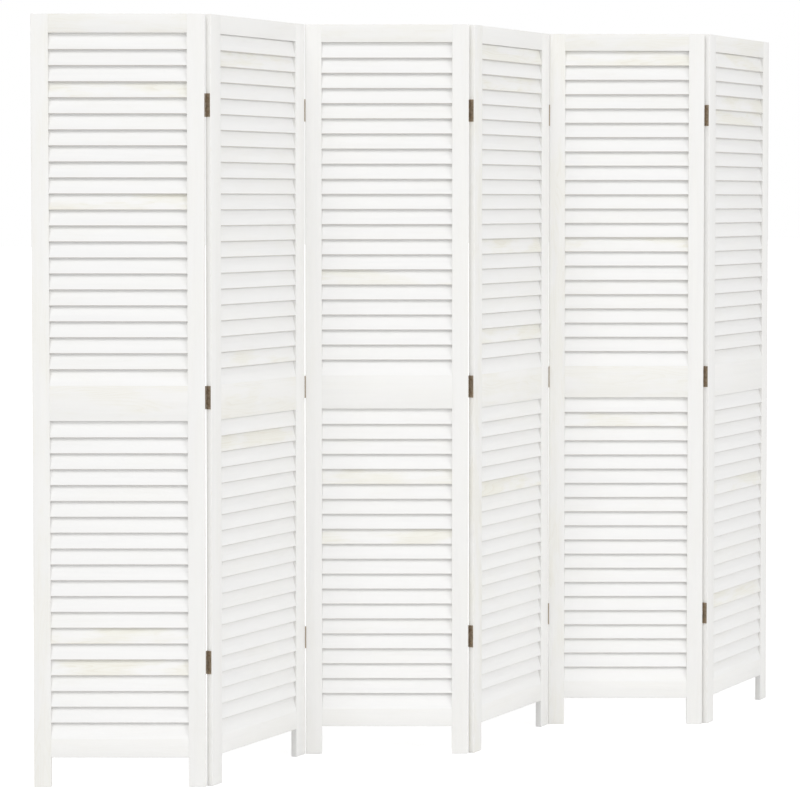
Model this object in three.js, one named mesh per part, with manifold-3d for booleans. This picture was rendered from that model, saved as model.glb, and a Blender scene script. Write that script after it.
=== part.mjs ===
// A folding room divider screen: six louvred wooden panels joined in a zigzag by butt hinges.
// Millimetres, +Z up. The screen stands on Z = 0, its length runs along X, and its front faces -Y.
// Inside a panel, x runs along its width from the left edge, y through its thickness from the
// middle towards the back, and z up from the floor.

import * as THREE from "three";
import { mergeVertices } from "three/addons/utils/BufferGeometryUtils.js";
import Module from "manifold-3d";

// Panels
const PANEL_COUNT = 6;
const PANEL_HEIGHT = 1650;
const PANEL_WIDTH = 368;
const PANEL_THICKNESS = 14;
const FOLD_DEGREES = 59.25; // how far each panel turns from its neighbour as the screen stands

// Frame members
const STILE_WIDTH = 37;
const TOP_RAIL_HEIGHT = 40;
const MIDDLE_RAIL_HEIGHT = 75;
const BOTTOM_RAIL_HEIGHT = 40;
const FOOT_HEIGHT = 63; // clear height under the bottom rail
const LOWER_OPENING_HEIGHT = 682; // between the bottom rail and the middle rail
const ARRIS_RADIUS = 1.5;
const ARRIS_STEPS = 2; // straight steps in each half of a rounded corner

// Mortise and tenon joints
const TENON_LENGTH = 22;
const TENON_THICKNESS = 6;
const TENON_SHOULDER = 6; // above and below a tenon
const WOOD_CLEARANCE = 0.3;

// Slats
const SLAT_WIDTH = 36;
const SLAT_THICKNESS = 5;
const SLAT_PITCH = 34; // evened out so that a bank fills its opening
const SLAT_SETBACK = 0.45; // from the faces of the panel to the nearest edge of a slat
const SLAT_END_GAP = 0.5; // from the first and last slat to the rails
const STRIP_WIDTH = 1.5; // upright strip that ties the slat ends beside a stile
const STRIP_SETBACK = 0.2;
const SLAT_INTO_STRIP = 0.6;

// Hinges
const HINGE_BELOW_TOP = 193; // from the top of a panel to the middle of its top hinge
const HINGE_ABOVE_FLOOR = 266; // to the middle of the bottom hinge
const HINGE_ABOVE_RAIL = 11.5; // from the middle of the middle rail to that of its hinge
const HINGE_LENGTH = 50;
const LEAF_THICKNESS = 0.8;
const LEAF_OFF_WOOD = 0.2; // from a leaf to its recess, all round
const LEAF_SHORT_OF_FACE = 2;
const BARREL_DIAMETER = 2.4;
const BARREL_PROUD = 0.4; // from the panel's face out to the hinge axis
const KNUCKLE_COUNT = 5;
const KNUCKLE_GAP = 0.3;
const PIN_DIAMETER = 1.2;
const PIN_INSET = 1; // from the ends of the barrel to the ends of the pin
const BORE_CLEARANCE = 0.2; // around the pin
const LEAF_CLEARANCE = 0.4; // from a leaf to the other leaf's knuckles
const ROUND_SIDES = 8; // of a barrel, pin or bore

// Fits worked out from the sizes above
const HALF_THICKNESS = PANEL_THICKNESS / 2;
const OPENING_WIDTH = PANEL_WIDTH - 2 * STILE_WIDTH;
const BOTTOM_RAIL_TOP = FOOT_HEIGHT + BOTTOM_RAIL_HEIGHT;
const MIDDLE_RAIL_BOTTOM = BOTTOM_RAIL_TOP + LOWER_OPENING_HEIGHT;
const MIDDLE_RAIL_TOP = MIDDLE_RAIL_BOTTOM + MIDDLE_RAIL_HEIGHT;
const TOP_RAIL_BOTTOM = PANEL_HEIGHT - TOP_RAIL_HEIGHT;
const AXIS_OFFSET = HALF_THICKNESS + BARREL_PROUD;
const LEAF_REACH = PANEL_THICKNESS + BARREL_PROUD - LEAF_SHORT_OF_FACE; // from the axis
const LEAF_OUTSIDE = BARREL_DIAMETER / 2; // from the axis: a leaf runs on from the skin of its barrel
const PANEL_GAP = 2 * (LEAF_OUTSIDE - LEAF_THICKNESS); // opened flat, as the leaves lie flush
const KNUCKLE_LENGTH = HINGE_LENGTH / KNUCKLE_COUNT;
const HINGE_HEIGHTS = {
  top: PANEL_HEIGHT - HINGE_BELOW_TOP,
  middle: (MIDDLE_RAIL_BOTTOM + MIDDLE_RAIL_TOP) / 2 + HINGE_ABOVE_RAIL,
  bottom: HINGE_ABOVE_FLOOR,
};

const RAILS = [
  { name: "top_rail", bottom: TOP_RAIL_BOTTOM, height: TOP_RAIL_HEIGHT },
  { name: "middle_rail", bottom: MIDDLE_RAIL_BOTTOM, height: MIDDLE_RAIL_HEIGHT },
  { name: "bottom_rail", bottom: FOOT_HEIGHT, height: BOTTOM_RAIL_HEIGHT },
];

const paint = new THREE.MeshStandardMaterial({ color: 0xf2f2f0, roughness: 0.5, metalness: 0 });
const slatPaint = new THREE.MeshStandardMaterial({ color: 0xf8f8f8, roughness: 0.5, metalness: 0 });
const bronze = new THREE.MeshStandardMaterial({ color: 0x74624e, roughness: 0.4, metalness: 0.9 });

const wasm = await Module();
wasm.setup();

// A closed three.js geometry as a solid that can be joined and cut.
function solidFrom(geometry) {
  const bare = geometry.clone();
  bare.deleteAttribute("normal");
  bare.deleteAttribute("uv");
  const merged = mergeVertices(bare, 1e-4);
  return new wasm.Manifold(
    new wasm.Mesh({
      numProp: 3,
      vertProperties: merged.attributes.position.array,
      triVerts: new Uint32Array(merged.index.array),
    }),
  );
}

// A joined and cut solid as a three.js geometry.
function geometryFrom(solid) {
  const mesh = solid.getMesh();
  const geometry = new THREE.BufferGeometry();
  geometry.setAttribute("position", new THREE.BufferAttribute(mesh.vertProperties, 3));
  geometry.setIndex(new THREE.BufferAttribute(mesh.triVerts, 1));
  geometry.computeVertexNormals();
  return geometry;
}

// Mirrors a geometry in x, in y or in both, with its faces still facing out.
function mirrorGeometry(geometry, x, y) {
  if (x * y < 0) {
    const order = geometry.index.array;
    for (let i = 0; i < order.length; i += 3) {
      [order[i + 1], order[i + 2]] = [order[i + 2], order[i + 1]];
    }
  }
  geometry.scale(x, y, 1);
  geometry.computeVertexNormals();
}

// A box between two corners.
function boxBetween([x0, y0, z0], [x1, y1, z1]) {
  const box = new THREE.BoxGeometry(x1 - x0, y1 - y0, z1 - z0);
  box.translate((x0 + x1) / 2, (y0 + y1) / 2, (z0 + z1) / 2);
  return solidFrom(box);
}

// An upright cylinder.
function cylinderBetween(x, y, z0, z1, radius) {
  const cylinder = new THREE.CylinderGeometry(radius, radius, z1 - z0, ROUND_SIDES);
  cylinder.rotateX(Math.PI / 2);
  cylinder.translate(x, y, (z0 + z1) / 2);
  return solidFrom(cylinder);
}

function joinAll(solids) {
  return solids.reduce((joined, solid) => joined.add(solid));
}

// A rectangle with its four corners rounded by the arris radius.
function roundedOutline(x0, y0, x1, y1) {
  const r = ARRIS_RADIUS;
  const outline = new THREE.Shape();
  outline.absarc(x1 - r, y1 - r, r, 0, Math.PI / 2);
  outline.absarc(x0 + r, y1 - r, r, Math.PI / 2, Math.PI);
  outline.absarc(x0 + r, y0 + r, r, Math.PI, 1.5 * Math.PI);
  outline.absarc(x1 - r, y0 + r, r, 1.5 * Math.PI, 2 * Math.PI);
  return outline;
}

// A wooden upright with rounded arrises.
function uprightBar(x0, x1, z0, z1) {
  const outline = roundedOutline(x0, -HALF_THICKNESS, x1, HALF_THICKNESS);
  const options = { depth: z1 - z0, bevelEnabled: false, curveSegments: ARRIS_STEPS };
  const bar = new THREE.ExtrudeGeometry(outline, options);
  bar.translate(0, 0, z0);
  return solidFrom(bar);
}

// A wooden bar along x with rounded arrises.
function levelBar(x0, x1, z0, z1) {
  const outline = roundedOutline(-HALF_THICKNESS, z0, HALF_THICKNESS, z1);
  const options = { depth: x1 - x0, bevelEnabled: false, curveSegments: ARRIS_STEPS };
  const bar = new THREE.ExtrudeGeometry(outline, options);
  bar.rotateY(Math.PI / 2);
  bar.rotateX(Math.PI / 2);
  bar.translate(x0, 0, 0);
  return solidFrom(bar);
}

// The tenon block of one rail, from one x to another, grown by a clearance for its mortise.
function tenonBlock(rail, x0, x1, clearance) {
  const y = TENON_THICKNESS / 2 + clearance;
  const z0 = rail.bottom + TENON_SHOULDER - clearance;
  const z1 = rail.bottom + rail.height - TENON_SHOULDER + clearance;
  return boxBetween([x0, -y, z0], [x1, y, z1]);
}

// A rail with a tenon at each end.
function railSolid(rail) {
  const shoulderLeft = STILE_WIDTH + WOOD_CLEARANCE;
  const shoulderRight = PANEL_WIDTH - STILE_WIDTH - WOOD_CLEARANCE;
  const bar = levelBar(shoulderLeft, shoulderRight, rail.bottom, rail.bottom + rail.height);
  const tenonLeft = STILE_WIDTH - TENON_LENGTH;
  const tenonRight = PANEL_WIDTH - STILE_WIDTH + TENON_LENGTH;
  return bar.add(tenonBlock(rail, tenonLeft, tenonRight, 0));
}

// The recess for a hinge leaf in a panel's right edge, open at the back where the barrel is.
function leafRecess(height) {
  const half = HINGE_LENGTH / 2 + LEAF_OFF_WOOD;
  const axisX = PANEL_WIDTH + PANEL_GAP / 2;
  const floor = axisX - LEAF_OUTSIDE - LEAF_OFF_WOOD;
  const far = AXIS_OFFSET - LEAF_REACH - LEAF_OFF_WOOD;
  return boxBetween([floor, far, height - half], [axisX, PANEL_THICKNESS, height + half]);
}

// A panel's own solid turned to its other edge or its other face.
function turnedSolid(solid, toLeftEdge, toFront) {
  const geometry = geometryFrom(solid);
  geometry.translate(-PANEL_WIDTH / 2, 0, 0);
  mirrorGeometry(geometry, toLeftEdge ? -1 : 1, toFront ? -1 : 1);
  geometry.translate(PANEL_WIDTH / 2, 0, 0);
  return solidFrom(geometry);
}

// A stile with a mortise for each rail in the side that faces the opening.
function stileSolid(isLeft) {
  const x0 = isLeft ? 0 : PANEL_WIDTH - STILE_WIDTH;
  const bar = uprightBar(x0, x0 + STILE_WIDTH, 0, PANEL_HEIGHT);
  const depth = TENON_LENGTH + WOOD_CLEARANCE;
  const innerFace = isLeft ? STILE_WIDTH : PANEL_WIDTH - STILE_WIDTH;
  const mortiseStart = isLeft ? innerFace - depth : innerFace - ARRIS_RADIUS;
  const mortiseEnd = isLeft ? innerFace + ARRIS_RADIUS : innerFace + depth;
  return RAILS.reduce(
    (cut, rail) => cut.subtract(tenonBlock(rail, mortiseStart, mortiseEnd, WOOD_CLEARANCE)),
    bar,
  );
}

// A stile with recesses for the three hinges of the joint that it stands at.
function hingedStile(isLeft, axisSide) {
  const recesses = Object.values(HINGE_HEIGHTS).map((height) =>
    turnedSolid(leafRecess(height), isLeft, axisSide < 0),
  );
  return recesses.reduce((cut, recess) => cut.subtract(recess), stileSolid(isLeft));
}

// The lean of a slat that makes it just as deep as the panel less its setbacks.
function slatLean() {
  const depth = PANEL_THICKNESS - 2 * SLAT_SETBACK;
  const diagonal = Math.hypot(SLAT_WIDTH, SLAT_THICKNESS);
  return Math.asin(depth / diagonal) - Math.atan2(SLAT_THICKNESS, SLAT_WIDTH);
}

// The heights of the middles of the slats that fill an opening.
function slatHeights(bottom, top) {
  const lean = slatLean();
  const rise = SLAT_WIDTH * Math.cos(lean) + SLAT_THICKNESS * Math.sin(lean);
  const first = bottom + SLAT_END_GAP + rise / 2;
  const last = top - SLAT_END_GAP - rise / 2;
  const spaces = Math.round((last - first) / SLAT_PITCH);
  return Array.from({ length: spaces + 1 }, (_, i) => first + ((last - first) * i) / spaces);
}

// A slat leans back: its lower edge is at the front of the panel and its upper edge at the back.
function slatSolid(height) {
  const strip = STRIP_WIDTH - SLAT_INTO_STRIP;
  const length = OPENING_WIDTH - 2 * WOOD_CLEARANCE - 2 * strip;
  const slat = new THREE.BoxGeometry(length, SLAT_THICKNESS, SLAT_WIDTH);
  slat.rotateX(-slatLean());
  slat.translate(PANEL_WIDTH / 2, 0, height);
  return solidFrom(slat);
}

// Both banks of slats, tied at their ends by a strip beside each stile, with the middle rail.
function slatsAndMiddleRail() {
  const heights = [
    ...slatHeights(BOTTOM_RAIL_TOP, MIDDLE_RAIL_BOTTOM),
    ...slatHeights(MIDDLE_RAIL_TOP, TOP_RAIL_BOTTOM),
  ];
  const y = HALF_THICKNESS - STRIP_SETBACK;
  const z0 = BOTTOM_RAIL_TOP + WOOD_CLEARANCE;
  const z1 = TOP_RAIL_BOTTOM - WOOD_CLEARANCE;
  const left = STILE_WIDTH + WOOD_CLEARANCE;
  const right = PANEL_WIDTH - STILE_WIDTH - WOOD_CLEARANCE;
  const strips = [
    boxBetween([left, -y, z0], [left + STRIP_WIDTH, y, z1]),
    boxBetween([right - STRIP_WIDTH, -y, z0], [right, y, z1]),
  ];
  return joinAll([...strips, ...heights.map(slatSolid), railSolid(RAILS[1])]);
}

// A hinge leaf beside the right edge of a panel whose hinge axis is on its back face. The axis is
// at x = 0, y = 0, the leaf's middle is at z = 0, and the panel lies towards -x and -y.
function leafSolid(carriesPin) {
  const half = HINGE_LENGTH / 2;
  const farSide = -LEAF_REACH;
  const nearSide = -(BARREL_DIAMETER / 2 + LEAF_CLEARANCE);
  const x0 = -LEAF_OUTSIDE;
  const x1 = -PANEL_GAP / 2;
  const parts = [boxBetween([x0, farSide, -half], [x1, nearSide, half])];
  for (let i = carriesPin ? 0 : 1; i < KNUCKLE_COUNT; i += 2) {
    const z0 = -half + i * KNUCKLE_LENGTH + KNUCKLE_GAP / 2;
    const z1 = z0 + KNUCKLE_LENGTH - KNUCKLE_GAP;
    parts.push(cylinderBetween(0, 0, z0, z1, BARREL_DIAMETER / 2));
    parts.push(boxBetween([x0, farSide, z0], [x1, 0, z1]));
  }
  if (carriesPin) {
    const pinEnd = half - PIN_INSET;
    return joinAll([...parts, cylinderBetween(0, 0, -pinEnd, pinEnd, PIN_DIAMETER / 2)]);
  }
  const bore = cylinderBetween(0, 0, -half, half, PIN_DIAMETER / 2 + BORE_CLEARANCE);
  return joinAll(parts).subtract(bore);
}

// The same hinge leaf for another edge: mirrored to a left edge, and to an axis on the front face.
function placedLeaf(carriesPin, onLeftEdge, axisSide) {
  const geometry = geometryFrom(leafSolid(carriesPin));
  mirrorGeometry(geometry, onLeftEdge ? -1 : 1, axisSide);
  return geometry;
}

// The joint after a panel folds about its back face where the zigzag points to the front.
const axisSideAfter = (panelNumber) => (panelNumber % 2 === 1 ? 1 : -1);

function namedMesh(name, geometry, material) {
  const mesh = new THREE.Mesh(geometry, material.clone());
  mesh.name = name;
  return mesh;
}

const railGeometry = {
  top_rail: geometryFrom(railSolid(RAILS[0])),
  bottom_rail: geometryFrom(railSolid(RAILS[2])),
};
const slatsGeometry = geometryFrom(slatsAndMiddleRail());

// The three leaves on one edge of a panel: the pin leaves are on its right edge.
function addLeaves(panel, joint, carriesPin) {
  const onLeftEdge = !carriesPin;
  const side = axisSideAfter(joint);
  const geometry = placedLeaf(carriesPin, onLeftEdge, side);
  const kind = carriesPin ? "pin_leaf" : "plain_leaf";
  for (const [place, height] of Object.entries(HINGE_HEIGHTS)) {
    const leaf = namedMesh(`hinge_${joint}_${joint + 1}_${place}_${kind}`, geometry, bronze);
    const x = onLeftEdge ? -PANEL_GAP / 2 : PANEL_WIDTH + PANEL_GAP / 2;
    leaf.position.set(x, side * AXIS_OFFSET, height);
    panel.add(leaf);
  }
}

// A stile at one end of the screen has no neighbour, and so no hinge recesses.
function stileGeometry(number, isLeft) {
  const joint = isLeft ? number - 1 : number;
  const isFree = joint < 1 || joint >= PANEL_COUNT;
  return geometryFrom(isFree ? stileSolid(isLeft) : hingedStile(isLeft, axisSideAfter(joint)));
}

function buildPanel(number) {
  const panel = new THREE.Group();
  panel.add(namedMesh(`panel_${number}_left_stile`, stileGeometry(number, true), paint));
  panel.add(namedMesh(`panel_${number}_right_stile`, stileGeometry(number, false), paint));
  for (const [name, geometry] of Object.entries(railGeometry)) {
    panel.add(namedMesh(`panel_${number}_${name}`, geometry, paint));
  }
  panel.add(namedMesh(`panel_${number}_slats_and_middle_rail`, slatsGeometry, slatPaint));
  if (number < PANEL_COUNT) addLeaves(panel, number, true);
  if (number > 1) addLeaves(panel, number - 1, false);
  return panel;
}

// Each panel hangs from the hinge axis of the one before it, turned the other way.
const screen = new THREE.Group();
const axisPoint = new THREE.Vector3();
for (let number = 1; number <= PANEL_COUNT; number += 1) {
  const panel = buildPanel(number);
  const turn = THREE.MathUtils.degToRad(FOLD_DEGREES / 2) * (number % 2 === 1 ? -1 : 1);
  const before = new THREE.Vector3(-PANEL_GAP / 2, axisSideAfter(number - 1) * AXIS_OFFSET, 0);
  const after = new THREE.Vector3(
    PANEL_WIDTH + PANEL_GAP / 2,
    axisSideAfter(number) * AXIS_OFFSET,
    0,
  );
  const up = new THREE.Vector3(0, 0, 1);
  panel.rotation.z = turn;
  panel.position.copy(axisPoint).sub(before.applyAxisAngle(up, turn));
  axisPoint.copy(panel.position).add(after.applyAxisAngle(up, turn));
  screen.add(panel);
}

// The origin is the middle of the screen's footprint, on the floor.
const middle = new THREE.Box3().setFromObject(screen, true).getCenter(new THREE.Vector3());
screen.position.set(-middle.x, -middle.y, 0);

export default screen;
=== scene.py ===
"""The visual model of a folding room divider screen: six white painted louvred panels on bronze butt hinges.

Every wooden piece is built along its own x axis, which is the direction of its grain, and is then
placed in its panel. A panel's own axes are x along its width from its left edge, y through its
thickness towards the back, and z up from the floor. Sizes are in metres."""

import math
import random

import bmesh
import bpy
from mathutils import Matrix, Vector


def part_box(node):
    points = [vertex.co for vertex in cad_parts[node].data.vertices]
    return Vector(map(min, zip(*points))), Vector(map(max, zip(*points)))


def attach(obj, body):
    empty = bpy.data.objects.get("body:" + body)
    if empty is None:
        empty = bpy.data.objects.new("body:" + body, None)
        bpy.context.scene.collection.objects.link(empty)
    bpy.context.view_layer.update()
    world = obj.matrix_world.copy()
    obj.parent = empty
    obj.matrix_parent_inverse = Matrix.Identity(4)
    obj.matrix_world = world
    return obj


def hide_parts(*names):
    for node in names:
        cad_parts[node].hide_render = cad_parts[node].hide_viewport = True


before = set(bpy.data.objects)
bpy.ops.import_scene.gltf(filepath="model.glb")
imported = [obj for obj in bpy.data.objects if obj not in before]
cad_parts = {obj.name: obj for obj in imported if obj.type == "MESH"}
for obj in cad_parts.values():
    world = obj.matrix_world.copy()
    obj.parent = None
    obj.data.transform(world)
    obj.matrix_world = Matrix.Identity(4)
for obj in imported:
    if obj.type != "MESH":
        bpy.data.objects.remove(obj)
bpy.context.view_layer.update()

MM = 0.001
PANELS = range(1, 7)
PANEL_WIDTH = 368 * MM
PANEL_THICKNESS = 14 * MM
STILE_WIDTH = 37 * MM
MIDDLE_RAIL_BOTTOM = 785 * MM
MIDDLE_RAIL_TOP = 860 * MM
SLAT_WIDTH = 36 * MM
SLAT_THICKNESS = 5 * MM
SLAT_PITCH = 34 * MM
SLAT_SETBACK = 0.45 * MM
SLAT_END_GAP = 0.15 * MM
WOOD_SEAM = 0.03 * MM
OUTER_ARRIS = 1.6 * MM
INNER_ARRIS = 0.3 * MM
SLAT_ARRIS = 1.1 * MM
SEAM_ARRIS = 0.1 * MM  # where the lowest slat of a bank stands on its rail
STILE_END_ARRIS = 0.7 * MM
RAIL_END_ARRIS = 0.04 * MM
SLAT_END_ARRIS = 0.15 * MM
SLAT_HEIGHT_SCATTER = 0.1 * MM
SLAT_TILT_SCATTER = (-0.25, 0.1)  # degrees

HINGE_LENGTH = 50 * MM
LEAF_THICKNESS = 0.8 * MM
LEAF_OFF_WOOD = 0.2 * MM
LEAF_SHORT_OF_FACE = 2 * MM
LEAF_CORNER = 1.2 * MM
BARREL_RADIUS = 1.2 * MM
BARREL_PROUD = 0.4 * MM
HINGE_NAMES = ("top", "middle", "bottom")
KNUCKLES = 5
KNUCKLE_GAP = 0.3 * MM
PIN_RADIUS = 0.6 * MM
PIN_INSET = 0.5 * MM
BORE_RADIUS = 0.66 * MM
LEAF_CLEARANCE = 0.4 * MM
SCREW_SPREAD = 15 * MM  # from the middle of a leaf to each of its screws
SCREW_HEAD_RADIUS = 2.3 * MM
SCREW_SHANK_RADIUS = 1.2 * MM
SCREW_LENGTH = 10 * MM
SCREW_PROUD = 0.06 * MM
SCREW_SLOT = 0.5 * MM
SCREW_SLOT_REACH = 0.62 * SCREW_HEAD_RADIUS
SCREW_SLOT_DEPTH = 0.5 * MM
SCREW_HOLE_CLEARANCE = 0.1 * MM
SCREW_HOLE_LIP = 0.05 * MM  # how far the cutter of a screw hole runs on past the leaf
ROLL_OPENING = math.radians(14)  # where the rolled knuckle stops short of its leaf
ROUND_SIDES = 32
LEAST_RADIUS = 0.01 * MM

OPENING_WIDTH = PANEL_WIDTH - 2 * STILE_WIDTH
AXIS_OFFSET = PANEL_THICKNESS / 2 + BARREL_PROUD
PANEL_GAP = 2 * (BARREL_RADIUS - LEAF_THICKNESS)
LEAF_OUTSIDE = -BARREL_RADIUS  # the face of a leaf that lies in its recess
LEAF_INSIDE = LEAF_OUTSIDE + LEAF_THICKNESS  # the flush face that the screws go in from
LEAF_REACH = PANEL_THICKNESS + BARREL_PROUD - LEAF_SHORT_OF_FACE  # from the axis

# Which slats show warm wood through the paint, counted from the top of each bank.
WARM_SLATS = {
    1: {"upper": (4, 11), "lower": (14, 16)},
    2: {"upper": (2, 21), "lower": (2,)},
    3: {"upper": (16,), "lower": (5, 9)},
    4: {"upper": (1, 3, 14, 20), "lower": (6,)},
    5: {"upper": (1, 14), "lower": (2,)},
    6: {"upper": (1, 4, 5), "lower": (7, 15)},
}
# How much warm wood shows through the paint of each frame piece.
WARM_FRAME = {
    (1, "stile_left"): 0.32,
    (1, "rail_top"): 0.5,
    (1, "rail_middle"): 0.45,
    (2, "rail_middle"): 0.5,
    (3, "rail_top"): 0.3,
    (4, "stile_left"): 0.45,
    (4, "rail_middle"): 0.4,
    (5, "rail_top"): 0.5,
    (5, "rail_middle"): 0.35,
    (5, "stile_left"): 0.4,
    (6, "rail_top"): 0.5,
}
CLEAN = 0.1  # how much shows on every other frame piece
WARM_RANGE = (0.75, 1.0)
CLEAN_RANGE = (0.0, 0.16)

FRAME_WHITE = (0.878, 0.873, 0.858)
SLAT_WHITE = (0.886, 0.884, 0.877)
# What shows in thin paint, and the painted shade on the slat edges, as shares of the white it lies in.
IVORY = (0.957, 0.947, 0.872)
WOOD = (0.885, 0.852, 0.76)
GREY = (0.955, 0.955, 0.96)
# Painted shade: the warm grey laid on the slats' narrow edges, for the shade in the gaps between them.
GAP_SHADE = (0.74, 0.71, 0.67)
# Each metal's bright colour, its dark one, and the one it is rubbed to.
BRONZE_COLOURS = ((0.4, 0.325, 0.24), (0.25, 0.203, 0.15), (0.54, 0.45, 0.34))
STEEL_COLOURS = ((0.42, 0.32, 0.21), (0.25, 0.18, 0.12), (0.62, 0.5, 0.35))
FLOOR_WHITE = 0.93

chance = random.Random(1650)


# ---------------------------------------------------------------- materials


class Nodes:
    """A short way to write a node tree."""

    def __init__(self, name):
        self.material = bpy.data.materials.new(name)
        self.material.use_nodes = True
        self.tree = self.material.node_tree
        self.tree.nodes.clear()

    def add(self, kind, inputs=None, **settings):
        node = self.tree.nodes.new(kind)
        for key, value in settings.items():
            setattr(node, key, value)
        for key, value in (inputs or {}).items():
            self.put(node.inputs[key], value)
        return node

    def put(self, socket, value):
        if isinstance(value, bpy.types.NodeSocket):
            self.tree.links.new(value, socket)
        else:
            socket.default_value = value

    def math(self, operation, a, b=0.0, clamp=False):
        node = self.add("ShaderNodeMath", {0: a, 1: b}, operation=operation, use_clamp=clamp)
        return node.outputs[0]

    def vector_math(self, operation, a, b):
        return self.add("ShaderNodeVectorMath", {0: a, 1: b}, operation=operation).outputs[0]

    def attribute(self, name):
        return self.add("ShaderNodeAttribute", attribute_name=name).outputs["Fac"]

    def own_place(self):
        """Where a point lies along and across its own piece, however the piece is turned."""
        return self.add("ShaderNodeAttribute", attribute_name="own_place").outputs["Vector"]

    def seeds(self):
        seed = self.attribute("piece_seed")
        return self.add("ShaderNodeCombineXYZ", {0: seed, 1: seed, 2: seed}).outputs[0]

    def noise(self, vector, scale, detail=3.0, roughness=0.5, distortion=0.0):
        inputs = {
            "Vector": vector,
            "Scale": scale,
            "Detail": detail,
            "Roughness": roughness,
            "Distortion": distortion,
        }
        return self.add("ShaderNodeTexNoise", inputs).outputs["Fac"]

    def ramp(self, value, low, high, low_to=0.0, high_to=1.0):
        inputs = {"Value": value, 1: low, 2: high, 3: low_to, 4: high_to}
        return self.add("ShaderNodeMapRange", inputs, interpolation_type="SMOOTHSTEP").outputs[0]

    def mix(self, factor, a, b):
        node = self.add("ShaderNodeMix", data_type="RGBA")
        for index, value in ((0, factor), (6, a), (7, b)):
            self.put(node.inputs[index], value)
        return node.outputs[2]

    def bump(self, height, strength, distance, normal=None):
        inputs = {"Height": height, "Strength": strength, "Distance": distance}
        if normal is not None:
            inputs["Normal"] = normal
        return self.add("ShaderNodeBump", inputs).outputs[0]

    def finish(self, **inputs):
        shader = self.add("ShaderNodeBsdfPrincipled")
        for key, value in inputs.items():
            self.put(shader.inputs[key.replace("_", " ")], value)
        output = self.add("ShaderNodeOutputMaterial")
        self.tree.links.new(shader.outputs[0], output.inputs[0])
        return self.material


def tinted(white, shares):
    return tuple(c * share for c, share in zip(white, shares)) + (1.0,)


def painted_wood(name, white):
    """White paint over softwood: grain, rings and a warm tint show through where it is thin.

    The narrow edges of the slats, which face the gaps between them, carry painted shade: a warm grey for the
    shade in those gaps."""
    n = Nodes(name)
    place = n.vector_math("ADD", n.own_place(), n.vector_math("MULTIPLY", n.seeds(), (1.7, 0.43, 0.61)))
    warm = n.attribute("piece_warm")
    edge = n.attribute("piece_edge")

    along = n.vector_math("MULTIPLY", place, (1.0, 9.0, 9.0))
    rings_place = n.vector_math("MULTIPLY", place, (0.35, 1.0, 1.0))
    bend = n.noise(along, 2.6, 2.0, 0.45)
    bends = n.add("ShaderNodeCombineXYZ", {1: bend, 2: bend}).outputs[0]
    wave_in = n.vector_math("ADD", rings_place, n.vector_math("MULTIPLY", bends, (0.0, 0.12, 0.16)))
    rings = n.add(
        "ShaderNodeTexWave",
        {"Vector": wave_in, "Scale": 34.0, "Distortion": 1.6, "Detail": 2.0, "Detail Scale": 1.4},
        wave_type="BANDS",
        bands_direction="Z",
        wave_profile="SAW",
    ).outputs["Fac"]
    rings = n.ramp(rings, 0.45, 1.0)
    pores_place = n.vector_math("MULTIPLY", place, (14.0, 420.0, 420.0))
    pores = n.noise(pores_place, 1.0, 3.0, 0.6)
    streaks = n.noise(n.vector_math("MULTIPLY", place, (3.0, 70.0, 70.0)), 1.0, 3.0, 0.55, 0.4)
    clouds = n.noise(n.vector_math("MULTIPLY", place, (7.0, 26.0, 26.0)), 1.0, 3.0, 0.55)
    peel = n.noise(place, 900.0, 1.0, 0.5)

    thin = n.ramp(clouds, 0.4, 0.62, 0.08, 0.9)
    tint = n.math("MULTIPLY", warm, thin, clamp=True)
    wood = tinted(white, WOOD)
    colour = n.mix(n.ramp(streaks, 0.42, 0.75, 0.0, 0.5), white + (1.0,), tinted(white, GREY))
    colour = n.mix(tint, colour, tinted(white, IVORY))
    lines = n.math("MULTIPLY", n.math("MULTIPLY", rings, tint), n.ramp(streaks, 0.3, 0.7, 0.25, 0.75))
    colour = n.mix(lines, colour, wood)
    worn = n.math("MULTIPLY", edge, n.ramp(n.noise(place, 90.0, 3.0, 0.6), 0.45, 0.72, 0.0, 0.55))
    colour = n.mix(worn, colour, wood)
    # Painted shade: the slats' narrow edges darkened to the warm grey of the shaded gaps.
    colour = n.mix(n.attribute("piece_gap_shade"), colour, tinted(white, GAP_SHADE))

    rough = n.math("ADD", n.math("MULTIPLY", clouds, 0.16), n.math("MULTIPLY", pores, 0.10))
    rough = n.math("ADD", rough, 0.36)
    fine = n.bump(pores, 0.16, 0.0004)
    grain = n.bump(n.math("ADD", rings, n.math("MULTIPLY", streaks, 0.8)), 0.12, 0.0006, fine)
    normal = n.bump(peel, 0.05, 0.0002, grain)
    return n.finish(Base_Color=colour, Roughness=rough, Normal=normal, Specular_IOR_Level=0.4)


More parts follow.
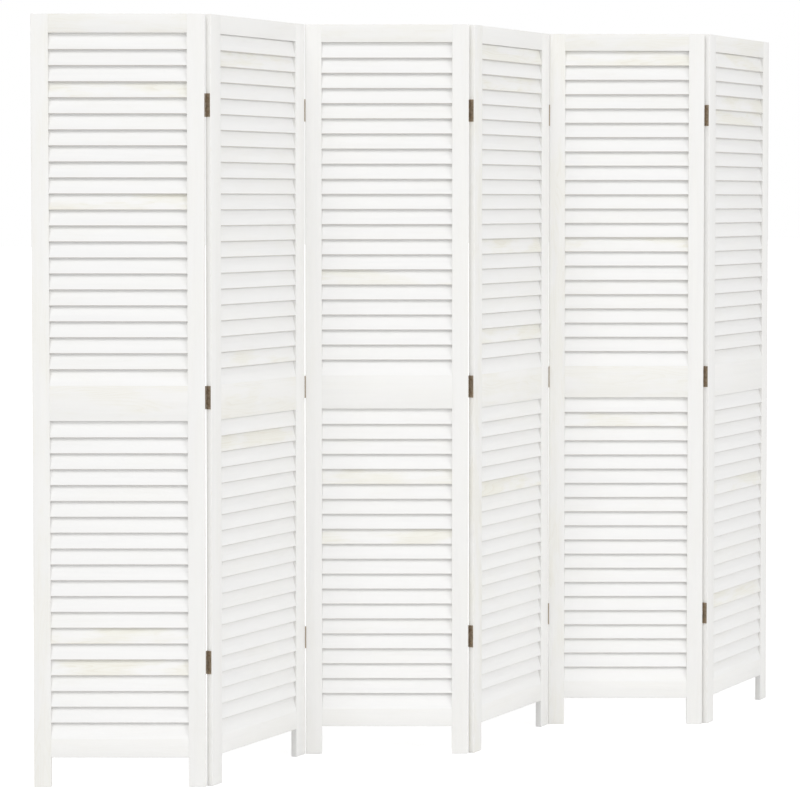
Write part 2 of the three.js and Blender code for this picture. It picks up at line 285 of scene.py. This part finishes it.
def hinge_metal(name, bright, dark, rubbed_to):
    """Antique bronze plate, dark in patches and rubbed lighter at the barrel, the ends and the far edge.

    A hinge piece has its own axis as its origin, so its edges are found from its own coordinates."""
    n = Nodes(name)
    coordinates = n.own_place()
    place = n.vector_math("ADD", coordinates, n.seeds())
    x, y, z = n.add("ShaderNodeSeparateXYZ", {0: coordinates}).outputs
    patches = n.noise(place, 160.0, 3.0, 0.6)
    brushed = n.noise(n.vector_math("MULTIPLY", place, (900.0, 900.0, 60.0)), 1.0, 2.0, 0.5)
    speckle = n.noise(place, 1800.0, 2.0, 0.6)
    from_axis = n.math("SQRT", n.math("ADD", n.math("MULTIPLY", x, x), n.math("MULTIPLY", y, y)))
    barrel = n.ramp(from_axis, BARREL_RADIUS, 1.6 * BARREL_RADIUS, 0.7, 0.0)
    ends = n.ramp(n.math("ABSOLUTE", z), 0.465 * HINGE_LENGTH, 0.5 * HINGE_LENGTH)
    far_edge = n.ramp(n.math("ABSOLUTE", y), LEAF_REACH - 0.7 * MM, LEAF_REACH)
    edges = n.math("MAXIMUM", barrel, n.math("MAXIMUM", ends, far_edge))
    worn = n.math("MULTIPLY", edges, n.ramp(patches, 0.35, 0.65, 0.15, 0.85))
    colour = n.mix(n.ramp(patches, 0.35, 0.7), bright + (1.0,), dark + (1.0,))
    rubbed = n.math("MAXIMUM", worn, n.ramp(brushed, 0.5, 0.85, 0.0, 0.4))
    colour = n.mix(rubbed, colour, rubbed_to + (1.0,))
    rough = n.math("ADD", n.math("MULTIPLY", patches, 0.22), n.math("MULTIPLY", speckle, 0.14))
    rough = n.math("ADD", rough, 0.3)
    normal = n.bump(speckle, 0.1, 0.0001, n.bump(brushed, 0.12, 0.0001))
    return n.finish(Base_Color=colour, Metallic=0.6, Roughness=rough, Normal=normal)


def floor_finish():
    """A white sweep to look at, which throws little light back up under the slats."""
    n = Nodes("pale_floor")
    seen = n.add("ShaderNodeLightPath").outputs["Is Camera Ray"]
    colour = n.mix(seen, (FLOOR_BOUNCE,) * 3 + (1.0,), (FLOOR_WHITE,) * 3 + (1.0,))
    glow = n.math("MULTIPLY", seen, FLOOR_GLOW)
    return n.finish(
        Base_Color=colour,
        Roughness=0.9,
        Specular_IOR_Level=0.0,
        Emission_Color=(1.0, 1.0, 1.0, 1.0),
        Emission_Strength=glow,
    )


# ---------------------------------------------------------------- mesh building


def rounded_rectangle(half_y, half_z, radii, steps):
    """(y, z, how near the crest of its arris, how far it faces along z) round a rounded rectangle.

    The two radii are those of the corners at -z and at +z."""
    section = []
    for quarter, (sign_y, sign_z) in enumerate(((1, 1), (-1, 1), (-1, -1), (1, -1))):
        radius = radii[sign_z > 0]
        for step in range(steps + 1):
            angle = (quarter + step / steps) * math.pi / 2
            y = sign_y * (half_y - radius) + radius * math.cos(angle)
            z = sign_z * (half_z - radius) + radius * math.sin(angle)
            section.append((y, z, math.sin(math.pi * step / steps), abs(math.sin(angle))))
    return section


def end_stations(length, end_arris, steps):
    """(x, how far the section is drawn in, how near the crest) along a bar with softened ends."""
    start = []
    for step in range(steps + 1):
        angle = step / steps * math.pi / 2
        x = end_arris * (1 - math.cos(angle))
        start.append((x, end_arris * (1 - math.sin(angle)), math.sin(2 * angle)))
    finish = [(length - x, inset, crest) for x, inset, crest in reversed(start)]
    return start + finish


def skin(bm, rings):
    """Faces between rings of vertices in order, closed by a face at each end."""
    count = len(rings[0])
    for ring, following in zip(rings, rings[1:]):
        for i in range(count):
            j = (i + 1) % count
            bm.faces.new((ring[i], ring[j], following[j], following[i]))
    bm.faces.new(reversed(rings[0]))
    bm.faces.new(rings[-1])


def add_bar(bm, size, arrises, end_arris, place=Matrix(), warm=CLEAN, gap_shade=0.0, steps=3):
    """Adds a bar that runs along x from 0, with rounded arrises at -z and +z and softened ends.

    Its narrow edges are darkened with painted shade, as far as asked. Returns its rings of vertices."""
    seed = chance.uniform(1.0, 60.0)
    rings = []
    for x, inset, end_crest in end_stations(size[0], end_arris, steps):
        radii = [max(arris - inset, LEAST_RADIUS) for arris in arrises]
        section = rounded_rectangle(size[1] / 2 - inset, size[2] / 2 - inset, radii, steps)
        ring = []
        for y, z, crest, upright in section:
            vertex = bm.verts.new(place @ Vector((x, y, z)))
            vertex[bm.verts.layers.float["piece_seed"]] = seed
            vertex[bm.verts.layers.float["piece_warm"]] = warm
            vertex[bm.verts.layers.float["piece_edge"]] = max(crest, end_crest)
            # Painted shade on the faces that face along z, the narrow edges in the gaps.
            vertex[bm.verts.layers.float["piece_gap_shade"]] = gap_shade * upright
            ring.append(vertex)
        rings.append(ring)
    skin(bm, rings)
    return rings


def new_mesh():
    bm = bmesh.new()
    for name in ("piece_seed", "piece_warm", "piece_edge", "piece_gap_shade"):
        bm.verts.layers.float.new(name)
    return bm


def new_piece(name, bm, material, matrix, body, stands_for=()):
    """A finished piece: smooth where it is round, in its place, riding on its body."""
    own_place = bm.verts.layers.float_vector.new("own_place")
    for vertex in bm.verts:
        vertex[own_place] = vertex.co
    moved(bm, matrix)
    bmesh.ops.recalc_face_normals(bm, faces=bm.faces)
    mesh = bpy.data.meshes.new(name)
    bm.to_mesh(mesh)
    bm.free()
    mesh.materials.append(material)
    mesh.shade_smooth()
    mesh.set_sharp_from_angle(angle=math.radians(40))
    piece = bpy.data.objects.new(name, mesh)
    bpy.context.scene.collection.objects.link(piece)
    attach(piece, body)
    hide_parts(*stands_for)
    return piece


def turned(profile):
    """A solid turned about z from its (radius, height) points."""
    bm = bmesh.new()
    rings = []
    for radius, height in profile:
        ring = []
        for side in range(ROUND_SIDES):
            angle = 2 * math.pi * side / ROUND_SIDES
            ring.append(bm.verts.new((radius * math.cos(angle), radius * math.sin(angle), height)))
        rings.append(ring)
    skin(bm, rings)
    return bm


def prism(outline, low, high):
    """An outline in x and y drawn up from one height to another."""
    bm = bmesh.new()
    skin(bm, [[bm.verts.new((x, y, z)) for x, y in outline] for z in (low, high)])
    return bm


def moved(bm, matrix):
    bmesh.ops.transform(bm, matrix=matrix, verts=bm.verts)
    return bm


def arc(radius, start, end, steps):
    angles = [start + (end - start) * step / steps for step in range(steps + 1)]
    return [(radius * math.cos(angle), radius * math.sin(angle)) for angle in angles]


def blank_object(bm):
    bmesh.ops.recalc_face_normals(bm, faces=bm.faces)
    mesh = bpy.data.meshes.new("blank")
    bm.to_mesh(mesh)
    bm.free()
    blank = bpy.data.objects.new("blank", mesh)
    bpy.context.scene.collection.objects.link(blank)
    return blank


def combined(base, joined=(), cut=()):
    """One closed solid: a base with some solids joined on and others cut away."""
    blank = blank_object(base)
    tools = []
    for operation, solids in (("UNION", joined), ("DIFFERENCE", cut)):
        for solid in solids:
            modifier = blank.modifiers.new(operation, "BOOLEAN")
            modifier.operation = operation
            modifier.solver = "EXACT"
            modifier.object = blank_object(solid)
            tools.append(modifier.object)
    result = bmesh.new()
    result.from_object(blank, bpy.context.evaluated_depsgraph_get())
    for used in (blank, *tools):
        bpy.data.objects.remove(used)
    bmesh.ops.remove_doubles(result, verts=result.verts, dist=0.001 * MM)
    return result


# ---------------------------------------------------------------- panels


def panel_matrix(number):
    """The panel's own axes in the frame, from where its two stiles stand."""
    left, right = (middle(f"panel_{number}_{side}_stile") for side in ("left", "right"))
    across = (right - left).normalized()
    corner = left - across * STILE_WIDTH / 2
    corner.z = 0.0
    turn = math.atan2(across.y, across.x)
    return Matrix.Translation(corner) @ Matrix.Rotation(turn, 4, "Z")


def middle(node):
    low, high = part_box(node)
    return (low + high) / 2


def heights(node):
    low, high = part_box(node)
    return low.z, high.z


def box_between(low, high):
    """A box between two corners."""
    (x0, y0, z0), (x1, y1, z1) = low, high
    return prism(((x0, y0), (x1, y0), (x1, y1), (x0, y1)), z0, z1)


def leaf_recesses(joint, mirror):
    """Cutters for the three leaves in one edge, in the axes of the edge's own hinges."""
    half = HINGE_LENGTH / 2 + LEAF_OFF_WOOD
    low = (LEAF_OUTSIDE - LEAF_OFF_WOOD, -LEAF_REACH - LEAF_OFF_WOOD)
    high = (0.0, PANEL_THICKNESS)
    side = 1 if joint % 2 == 1 else -1
    x = PANEL_WIDTH + PANEL_GAP / 2 if mirror > 0 else -PANEL_GAP / 2
    cutters = []
    for height_name in HINGE_NAMES:
        z = sum(heights(f"hinge_{joint}_{joint + 1}_{height_name}_pin_leaf")) / 2
        cutter = box_between((*low, -half), (*high, half))
        place = Matrix.Translation((x, side * AXIS_OFFSET, z)) @ Matrix.Diagonal((mirror, side, 1, 1))
        cutters.append(moved(cutter, place))
    return cutters


def one_value(bm, name, value):
    """Gives every vertex the same mark, new ones from a cut included."""
    layer = bm.verts.layers.float.get(name) or bm.verts.layers.float.new(name)
    for vertex in bm.verts:
        vertex[layer] = value


def hinged_stile(bar, number, side, upright):
    """A stile with a recess for each hinge leaf, or as it is at an end of the screen."""
    joint = number if side == "right" else number - 1
    if joint < 1 or joint >= PANELS[-1]:
        return bar
    first = next(iter(bar.verts))
    marks = {name: first[bar.verts.layers.float[name]] for name in ("piece_seed", "piece_warm")}
    cutters = leaf_recesses(joint, 1 if side == "right" else -1)
    stile = combined(bar, cut=[moved(cutter, upright.inverted()) for cutter in cutters])
    for name, value in marks.items():
        one_value(stile, name, value)
    return stile


def build_stile(number, side, panel):
    bottom, top = heights(f"panel_{number}_{side}_stile")
    bm = new_mesh()
    warm = WARM_FRAME.get((number, f"stile_{side}"), CLEAN)
    size = (top - bottom, PANEL_THICKNESS, STILE_WIDTH)
    arrises = (INNER_ARRIS, OUTER_ARRIS) if side == "left" else (OUTER_ARRIS, INNER_ARRIS)
    add_bar(bm, size, arrises, STILE_END_ARRIS, warm=warm)
    x = STILE_WIDTH / 2 if side == "left" else PANEL_WIDTH - STILE_WIDTH / 2
    upright = Matrix.Translation((x, 0, bottom)) @ Matrix.Rotation(-math.pi / 2, 4, "Y")
    bm = hinged_stile(bm, number, side, upright)
    name = f"panel_{number}_stile_{side}"
    nodes = [f"panel_{number}_{side}_stile"]
    new_piece(name, bm, FRAME_PAINT, panel @ upright, f"panel_{number}", nodes)


def build_rail(number, kind, bottom, top, panel, nodes):
    bm = new_mesh()
    warm = WARM_FRAME.get((number, f"rail_{kind}"), CLEAN)
    length = OPENING_WIDTH - 2 * WOOD_SEAM
    upper = OUTER_ARRIS if kind == "top" else SEAM_ARRIS
    lower = OUTER_ARRIS if kind == "bottom" else INNER_ARRIS
    size = (length, PANEL_THICKNESS, top - bottom)
    add_bar(bm, size, (lower, upper), RAIL_END_ARRIS, warm=warm)
    place = panel @ Matrix.Translation((STILE_WIDTH + WOOD_SEAM, 0, (bottom + top) / 2))
    name = f"panel_{number}_rail_{kind}"
    new_piece(name, bm, FRAME_PAINT, place, f"panel_{number}", nodes)


def slat_lean():
    """The lean that makes a slat as deep as the panel less its setbacks."""
    depth = PANEL_THICKNESS - 2 * SLAT_SETBACK
    diagonal = math.hypot(SLAT_WIDTH, SLAT_THICKNESS)
    return math.asin(depth / diagonal) - math.atan2(SLAT_THICKNESS, SLAT_WIDTH)


def stand_on_rail(rings, tilt):
    """Runs a slat's lower edge on down its own slope to a flat foot on the rail at z = 0."""
    slope = Matrix.Rotation(tilt, 3, "X") @ Vector((0, 0, 1))
    for ring in rings:
        for vertex in ring[len(ring) // 2:]:
            vertex.co += slope * (WOOD_SEAM - vertex.co.z) / slope.z


def build_slats(number, bank, bottom, top, panel, nodes):
    """A bank of separate slats, each set by hand, so no two lean quite alike."""
    bm = new_mesh()
    lean = slat_lean()
    rise = SLAT_WIDTH * math.cos(lean) + SLAT_THICKNESS * math.sin(lean)
    first = bottom + SLAT_END_GAP + rise / 2
    last = top - SLAT_END_GAP - rise / 2
    spaces = round((last - first) / SLAT_PITCH)
    warm_ones = WARM_SLATS[number][bank]
    for index in range(spaces + 1):
        from_top = spaces - index + 1
        warm = chance.uniform(*(WARM_RANGE if from_top in warm_ones else CLEAN_RANGE))
        scatter = chance.uniform(-SLAT_HEIGHT_SCATTER, SLAT_HEIGHT_SCATTER)
        z = first + (last - first) * index / spaces + scatter
        tilt = -lean + math.radians(chance.uniform(*SLAT_TILT_SCATTER))
        place = Matrix.Translation((0, 0, z - bottom)) @ Matrix.Rotation(tilt, 4, "X")
        length = OPENING_WIDTH - 2 * WOOD_SEAM
        size = (length, SLAT_THICKNESS, SLAT_WIDTH)
        foot = SEAM_ARRIS if index == 0 else SLAT_ARRIS
        rings = add_bar(bm, size, (foot, SLAT_ARRIS), SLAT_END_ARRIS, place, warm, gap_shade=1.0)
        if index == 0:
            stand_on_rail(rings, tilt)
    place = panel @ Matrix.Translation((STILE_WIDTH + WOOD_SEAM, 0, bottom))
    name = f"panel_{number}_slats_{bank}"
    new_piece(name, bm, SLAT_PAINT, place, f"panel_{number}", nodes)


def build_panel(number):
    panel = panel_matrix(number)
    bottom_rail = heights(f"panel_{number}_bottom_rail")
    top_rail = heights(f"panel_{number}_top_rail")
    for side in ("left", "right"):
        build_stile(number, side, panel)
    shared = [f"panel_{number}_slats_and_middle_rail"]
    build_rail(number, "top", *top_rail, panel, [f"panel_{number}_top_rail"])
    build_rail(number, "middle", MIDDLE_RAIL_BOTTOM, MIDDLE_RAIL_TOP, panel, shared)
    build_rail(number, "bottom", *bottom_rail, panel, [f"panel_{number}_bottom_rail"])
    build_slats(number, "upper", MIDDLE_RAIL_TOP, top_rail[0], panel, shared)
    build_slats(number, "lower", bottom_rail[1], MIDDLE_RAIL_BOTTOM, panel, shared)


# ---------------------------------------------------------------- hinges


def rolled_outline():
    """The section of a leaf where it is rolled round the pin, to just short of meeting itself."""
    outer_start = math.pi + math.acos(-LEAF_OUTSIDE / BARREL_RADIUS)
    inner_end = math.pi + math.acos(-LEAF_INSIDE / BORE_RADIUS)
    lip = -math.pi / 2 - ROLL_OPENING
    root = -2 * BARREL_RADIUS
    outer = arc(BARREL_RADIUS, outer_start, lip, ROUND_SIDES)
    inner = arc(BORE_RADIUS, lip, inner_end, ROUND_SIDES)
    return [(LEAF_OUTSIDE, root), *outer, *inner, (LEAF_INSIDE, root)]


def leaf_plate():
    """The flat of a leaf, with its two far corners rounded."""
    near = -(BARREL_RADIUS + LEAF_CLEARANCE)
    half = HINGE_LENGTH / 2
    low_corner = arc(LEAF_CORNER, math.pi, 1.5 * math.pi, 6)
    high_corner = arc(LEAF_CORNER, math.pi / 2, math.pi, 6)
    y0 = LEAF_CORNER - LEAF_REACH
    z0 = half - LEAF_CORNER
    outline = [(near, half), *((y0 + y, z0 + z) for y, z in high_corner)]
    outline += [*((y0 + y, z - z0) for y, z in low_corner), (near, -half)]
    bm = bmesh.new()
    skin(bm, [[bm.verts.new((x, y, z)) for y, z in outline] for x in (LEAF_OUTSIDE, LEAF_INSIDE)])
    return bm


def screw_places():
    """Two screws a leaf, in the middle of the wood's thickness, driven in along -x."""
    along = Matrix.Rotation(math.pi / 2, 4, "Y")
    return [Matrix.Translation((LEAF_INSIDE, -AXIS_OFFSET, z)) @ along for z in (-SCREW_SPREAD, SCREW_SPREAD)]


def leaf_solid(carries_pin):
    """A leaf beside the right edge of a panel whose hinge axis is at its back, on x = 0, y = 0."""
    length = HINGE_LENGTH / KNUCKLES
    knuckles = []
    for index in range(0 if carries_pin else 1, KNUCKLES, 2):
        low = -HINGE_LENGTH / 2 + index * length + KNUCKLE_GAP / 2
        knuckles.append(prism(rolled_outline(), low, low + length - KNUCKLE_GAP))
    rim = SCREW_HEAD_RADIUS + SCREW_HOLE_CLEARANCE
    sink = (
        (rim - LEAF_THICKNESS, -LEAF_THICKNESS - SCREW_HOLE_CLEARANCE),
        (rim, 0.0),
        (rim + SCREW_HOLE_LIP, SCREW_HOLE_LIP),
    )
    holes = [moved(turned(sink), place) for place in screw_places()]
    return combined(leaf_plate(), knuckles, holes)


def pin_solid():
    half = HINGE_LENGTH / 2 - PIN_INSET
    dome = 0.25 * PIN_RADIUS
    ends = ((0.6 * PIN_RADIUS, half), (0.9 * PIN_RADIUS, half - 0.3 * dome), (PIN_RADIUS, half - dome))
    return turned([(r, -z) for r, z in ends] + [(r, z) for r, z in reversed(ends)])


def screw_solid():
    """A countersunk wood screw with a cross slot, its head at z = 0 and its point below."""
    shank_top = SCREW_SHANK_RADIUS - SCREW_HEAD_RADIUS
    profile = [
        (0.15 * SCREW_SHANK_RADIUS, -SCREW_LENGTH),
        (SCREW_SHANK_RADIUS, 0.7 * -SCREW_LENGTH),
        (SCREW_SHANK_RADIUS, shank_top),
        (SCREW_HEAD_RADIUS, 0.0),
        (0.8 * SCREW_HEAD_RADIUS, 0.6 * SCREW_PROUD),
        (0.4 * SCREW_HEAD_RADIUS, SCREW_PROUD),
    ]
    half = SCREW_SLOT / 2
    slots = []
    for x, y in ((SCREW_SLOT_REACH, half), (half, SCREW_SLOT_REACH)):
        slots.append(box_between((-x, -y, -SCREW_SLOT_DEPTH), (x, y, SCREW_SLOT_DEPTH)))
    return combined(turned(profile), cut=slots)


def hinge_piece(name, solid, material, place, mirror, body, nodes=()):
    """A copy of a hinge part, mirrored to its edge and face, with marks of its own."""
    copy = moved(solid.copy(), mirror)
    one_value(copy, "piece_seed", chance.uniform(1.0, 60.0))
    new_piece(name, copy, material, place, body, nodes)


def build_leaf(joint, height_name, carries_pin):
    """One leaf with its screws: the leaf that carries the pin is on the left panel's right edge."""
    number = joint if carries_pin else joint + 1
    kind = "pin_leaf" if carries_pin else "plain_leaf"
    node = f"hinge_{joint}_{joint + 1}_{height_name}_{kind}"
    low, high = heights(node)
    side = 1 if joint % 2 == 1 else -1
    x = PANEL_WIDTH + PANEL_GAP / 2 if carries_pin else -PANEL_GAP / 2
    place = panel_matrix(number) @ Matrix.Translation((x, side * AXIS_OFFSET, (low + high) / 2))
    mirror = Matrix.Diagonal((1 if carries_pin else -1, side, 1, 1))
    body = f"panel_{number}"
    label = f"{joint}_{joint + 1}_{height_name}"
    edge = "left" if carries_pin else "right"
    hinge_piece(f"leaf_{label}_{edge}", LEAVES[carries_pin], BRONZE, place, mirror, body, [node])
    if carries_pin:
        hinge_piece(f"pin_{label}", PIN, STEEL, place, mirror, body, [node])
    screws = bmesh.new()
    for screw_place in screw_places():
        turn = Matrix.Rotation(chance.uniform(0.0, math.pi / 2), 4, "Z")
        mesh = bpy.data.meshes.new("screw")
        single = moved(SCREW.copy(), screw_place @ turn)
        single.to_mesh(mesh)
        single.free()
        screws.from_mesh(mesh)
        bpy.data.meshes.remove(mesh)
    hinge_piece(f"screws_{label}_{edge}", screws, STEEL, place, mirror, body)
    screws.free()


FRAME_PAINT = painted_wood("frame_paint", FRAME_WHITE)
SLAT_PAINT = painted_wood("slat_paint", SLAT_WHITE)
BRONZE = hinge_metal("antique_bronze", *BRONZE_COLOURS)
STEEL = hinge_metal("plated_steel", *STEEL_COLOURS)
LEAVES = {carries_pin: leaf_solid(carries_pin) for carries_pin in (True, False)}
PIN = pin_solid()
SCREW = screw_solid()

for panel_number in PANELS:
    build_panel(panel_number)
for joint_number in PANELS[:-1]:
    for height_name in HINGE_NAMES:
        build_leaf(joint_number, height_name, True)
        build_leaf(joint_number, height_name, False)


# ---------------------------------------------------------------- studio

CAMERA_AZIMUTH = math.radians(-29.754)  # nearly square on to the odd panels
CAMERA_LENS_MM = 113.64
CAMERA_DISTANCE = 5.3633  # from the front face of the first panel
CAMERA_HEIGHT = 1.2524
CAMERA_ACROSS = 0.7829  # from the first panel's left edge to the right
SENSOR_MM = 36.0
HORIZON_UP_MM = 8.935  # how far above the middle of the picture the horizon lies, on the sensor
CAMERA_SHIFT = 0.14

# Lights, each with its bearing to the right of the camera's own, its elevation and its strength.
LIGHTS = {"key": (60, 20, 0.71), "fill": (-30, 45, 0.9)}
LIGHT_SPREAD = math.radians(26)
AMBIENT = 0.69
FLOOR_BOUNCE = 0.85
FLOOR_GLOW = 0.42
FLOOR_HALF_WIDTH = 60
FLOOR_DROP = 0.5 * MM  # how far below the feet the floor lies


def build_camera():
    """Upright lines stay nearly upright: most of the downward look is shift and the rest is tilt."""
    data = bpy.data.cameras.new("camera")
    data.lens = CAMERA_LENS_MM
    data.sensor_width = SENSOR_MM
    data.shift_y = -CAMERA_SHIFT
    data.clip_end = 100
    across = Vector((math.cos(CAMERA_AZIMUTH), math.sin(CAMERA_AZIMUTH), 0))
    ahead = Vector((-math.sin(CAMERA_AZIMUTH), math.cos(CAMERA_AZIMUTH), 0))
    corner = panel_matrix(1) @ Vector((0, -PANEL_THICKNESS / 2, 0))
    camera = bpy.data.objects.new("camera", data)
    camera.location = corner + across * CAMERA_ACROSS - ahead * CAMERA_DISTANCE
    camera.location.z = CAMERA_HEIGHT
    tilt = math.atan((HORIZON_UP_MM - CAMERA_SHIFT * SENSOR_MM) / CAMERA_LENS_MM)
    camera.rotation_euler = (math.pi / 2 - tilt, 0, CAMERA_AZIMUTH)
    bpy.context.scene.collection.objects.link(camera)
    bpy.context.scene.camera = camera


def build_light(name, bearing, elevation, strength):
    """A soft light so far off that all six panels get the same of it."""
    data = bpy.data.lights.new(name, "SUN")
    data.energy = strength
    data.angle = LIGHT_SPREAD
    light = bpy.data.objects.new(name, data)
    turn = CAMERA_AZIMUTH + math.radians(bearing)
    light.rotation_euler = (math.pi / 2 - math.radians(elevation), 0, turn)
    bpy.context.scene.collection.objects.link(light)


def build_world():
    """White to look at, and a dimmer even light from all round."""
    world = bpy.data.worlds.new("studio")
    world.use_nodes = True
    tree = world.node_tree
    seen = tree.nodes.new("ShaderNodeLightPath").outputs["Is Camera Ray"]
    mix = tree.nodes.new("ShaderNodeMix")
    mix.data_type = "RGBA"
    mix.inputs[6].default_value = (AMBIENT, AMBIENT, AMBIENT, 1)
    mix.inputs[7].default_value = (1, 1, 1, 1)
    tree.links.new(seen, mix.inputs[0])
    tree.links.new(mix.outputs[2], tree.nodes["Background"].inputs["Color"])
    bpy.context.scene.world = world


def build_studio():
    mesh = bpy.data.meshes.new("floor")
    bm = bmesh.new()
    bmesh.ops.create_grid(bm, x_segments=8, y_segments=8, size=FLOOR_HALF_WIDTH)
    bm.to_mesh(mesh)
    bm.free()
    mesh.materials.append(floor_finish())
    floor = bpy.data.objects.new("floor", mesh)
    floor.location.z = -FLOOR_DROP
    bpy.context.scene.collection.objects.link(floor)
    build_world()
    bpy.context.scene.view_settings.view_transform = "Standard"
    for name, (bearing, elevation, strength) in LIGHTS.items():
        build_light(name, bearing, elevation, strength)


build_camera()
build_studio()
